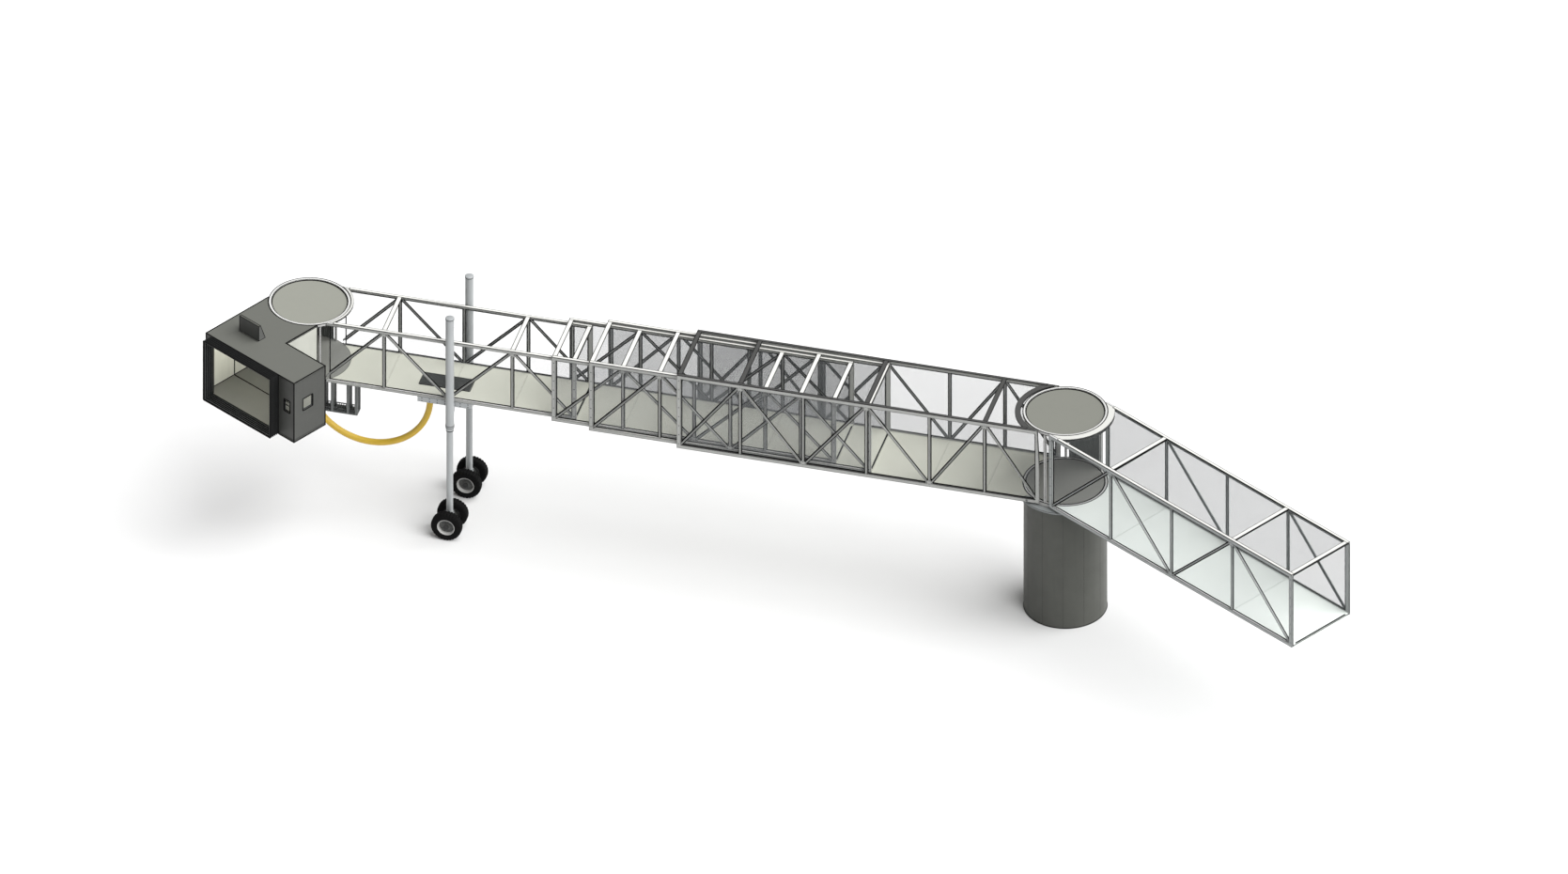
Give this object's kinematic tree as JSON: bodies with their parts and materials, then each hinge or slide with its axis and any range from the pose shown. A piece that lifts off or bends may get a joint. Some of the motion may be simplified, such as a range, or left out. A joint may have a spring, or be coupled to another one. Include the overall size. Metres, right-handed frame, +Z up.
{
  "type": "passenger boarding bridge",
  "caption": "Glass-sided passenger boarding bridge: pedestal, rotunda, fixed walkway, telescoping lattice tunnels, wheeled lift columns and a turning cab.",
  "frame": {"origin": "centre of the pedestal's foot, at ground level", "axes": "+X from the rotunda along the fixed walkway to the terminal, +Z up; the cab's mouth faces -Y"},
  "size_m": [35.3876, 18.5002, 8.58],
  "materials": {
    "pedestal_paint": "matt paint on rolled plate",
    "track_steel": "satin paint",
    "round_deck": "rubber floor covering",
    "white_ring": "white enamel",
    "round_roof": "coated sheet",
    "slats": "coated slats",
    "walkway_frame": "white paint",
    "walkway_deck": "pale floor covering",
    "clear_glass": "clear",
    "roof_glass": "clear",
    "tunnel_a_frame": "satin paint on steel section",
    "tunnel_deck": "cream floor covering",
    "tunnel_b_frame": "satin paint on steel section",
    "slide_shoe": "nylon",
    "tunnel_c_frame": "satin paint on steel section",
    "tunnel_d_frame": "satin paint on steel section",
    "column_paint": "light satin paint",
    "hatch_paint": "dark matt paint",
    "round_roof_light": "coated sheet",
    "yellow_hose": "matt yellow",
    "basket_steel": "dark grey paint",
    "cab_deck": "grey floor covering",
    "cab_roof_paint": "coated sheet",
    "cab_paint": "satin paint",
    "bellows_fabric": "folded black fabric",
    "hood_paint": "dark paint",
    "lift_steel": "smooth steel tube",
    "head_paint": "grey paint",
    "tyre_rubber": "solid tyre on a painted disc"
  },
  "bodies": {
    "station": {"pedestal": "pedestal_paint", "slew_track": "track_steel", "rotunda_floor": "round_deck", "rotunda_rings": "white_ring", "rotunda_roof": "round_roof", "rotunda_posts": "white_ring", "slat_wall": "slats", "walkway_sides": "walkway_frame", "walkway_floor": "walkway_deck", "walkway_glass": "clear_glass", "walkway_roof_frame": "walkway_frame", "walkway_roof_glass": "roof_glass"},
    "slew_yoke": {"slew_yoke": "track_steel"},
    "tunnel_a": {"tunnel_a_sides": "tunnel_a_frame", "tunnel_a_floor": "tunnel_deck", "tunnel_a_glass": "clear_glass", "tunnel_a_roof_frame": "tunnel_a_frame"},
    "tunnel_b": {"tunnel_b_sides": "tunnel_b_frame", "tunnel_b_floor": "tunnel_deck", "tunnel_b_glass": "clear_glass", "tunnel_b_roof_frame": "tunnel_b_frame", "tunnel_b_shoes": "slide_shoe"},
    "tunnel_c": {"tunnel_c_sides": "tunnel_c_frame", "tunnel_c_floor": "tunnel_deck", "tunnel_c_glass": "clear_glass", "tunnel_c_roof_frame": "tunnel_c_frame", "tunnel_c_shoes": "slide_shoe"},
    "tunnel_d": {"tunnel_d_sides": "tunnel_d_frame", "tunnel_d_floor": "tunnel_deck", "tunnel_d_glass": "clear_glass", "tunnel_d_roof_frame": "tunnel_d_frame", "tunnel_d_shoes": "slide_shoe", "column_sleeves": "column_paint", "saddle_box": "column_paint", "hatch_plate": "hatch_paint", "cab_round_floor": "round_deck", "cab_round_roof": "round_roof_light", "cab_round_ring": "white_ring", "cab_round_posts": "white_ring", "cab_round_wall": "slats", "service_hose": "yellow_hose", "hanging_basket": "basket_steel"},
    "near_leg": {"near_lift_tube": "lift_steel"},
    "far_leg": {"far_lift_tube": "lift_steel"},
    "near_bogie": {"near_steering_head": "head_paint"},
    "far_bogie": {"far_steering_head": "head_paint"},
    "near_outer_wheel": {"near_outer_wheel": "tyre_rubber"},
    "near_inner_wheel": {"near_inner_wheel": "tyre_rubber"},
    "far_outer_wheel": {"far_outer_wheel": "tyre_rubber"},
    "far_inner_wheel": {"far_inner_wheel": "tyre_rubber"},
    "cab": {"cab_floor": "cab_deck", "cab_roof": "cab_roof_paint", "cab_walls": "cab_paint", "cab_windows": "clear_glass", "cab_bellows": "bellows_fabric", "cab_hood": "hood_paint"}
  },
  "joints": [
    {"name": "tunnel_slew", "type": "hinge", "parent": "station", "child": "slew_yoke", "pos_m": [0, 0, 4.8], "axis": [0, 0, 1], "range_deg": [-30, 12]},
    {"name": "tunnel_pitch", "type": "hinge", "parent": "slew_yoke", "child": "tunnel_a", "pos_m": [-0.82272, -0.475, 4.925], "axis": [-0.5, 0.866, 0], "range_deg": [-3.5, 1]},
    {"name": "second_tunnel_slide", "type": "slide", "parent": "tunnel_a", "child": "tunnel_b", "axis": [-0.866, -0.5, 0], "range_m": [-2.8, 5]},
    {"name": "third_tunnel_slide", "type": "slide", "parent": "tunnel_b", "child": "tunnel_c", "axis": [-0.866, -0.5, 0], "range_m": [-1.1, 6.5]},
    {"name": "last_tunnel_slide", "type": "slide", "parent": "tunnel_c", "child": "tunnel_d", "axis": [-0.866, -0.5, 0], "range_m": [-2.2, 0]},
    {"name": "cab_turn", "type": "hinge", "parent": "tunnel_d", "child": "cab", "pos_m": [-22.18757, -12.81, 5.1], "axis": [0, 0, 1], "range_deg": [-60, 4]},
    {"name": "near_lift", "type": "slide", "parent": "tunnel_d", "child": "near_leg", "axis": [0, 0, -1], "range_m": [-1.25, 0.4]},
    {"name": "near_steer", "type": "hinge", "parent": "near_leg", "child": "near_bogie", "pos_m": [-17.17066, -11.33954, 0.8], "axis": [0, 0, 1], "range_deg": [-90, 90]},
    {"name": "near_outer_spin", "type": "hinge", "parent": "near_bogie", "child": "near_outer_wheel", "pos_m": [-16.97816, -11.67296, 0.52], "axis": [0.5, -0.866, 0], "continuous": true},
    {"name": "near_inner_spin", "type": "hinge", "parent": "near_bogie", "child": "near_inner_wheel", "pos_m": [-17.36316, -11.00612, 0.52], "axis": [0.5, -0.866, 0], "continuous": true},
    {"name": "far_lift", "type": "slide", "parent": "tunnel_d", "child": "far_leg", "axis": [0, 0, -1], "range_m": [-1.25, 0.4]},
    {"name": "far_steer", "type": "hinge", "parent": "far_leg", "child": "far_bogie", "pos_m": [-18.40566, -9.20046, 0.8], "axis": [0, 0, 1], "range_deg": [-90, 90]},
    {"name": "far_outer_spin", "type": "hinge", "parent": "far_bogie", "child": "far_outer_wheel", "pos_m": [-18.59816, -8.86704, 0.52], "axis": [0.5, -0.866, 0], "continuous": true},
    {"name": "far_inner_spin", "type": "hinge", "parent": "far_bogie", "child": "far_inner_wheel", "pos_m": [-18.21316, -9.53388, 0.52], "axis": [0.5, -0.866, 0], "continuous": true}
  ],
  "couplings": [
    {"joint": "near_lift", "follows": "tunnel_pitch", "m_per_rad": 19.59},
    {"joint": "far_lift", "follows": "tunnel_pitch", "m_per_rad": 19.59}
  ]
}
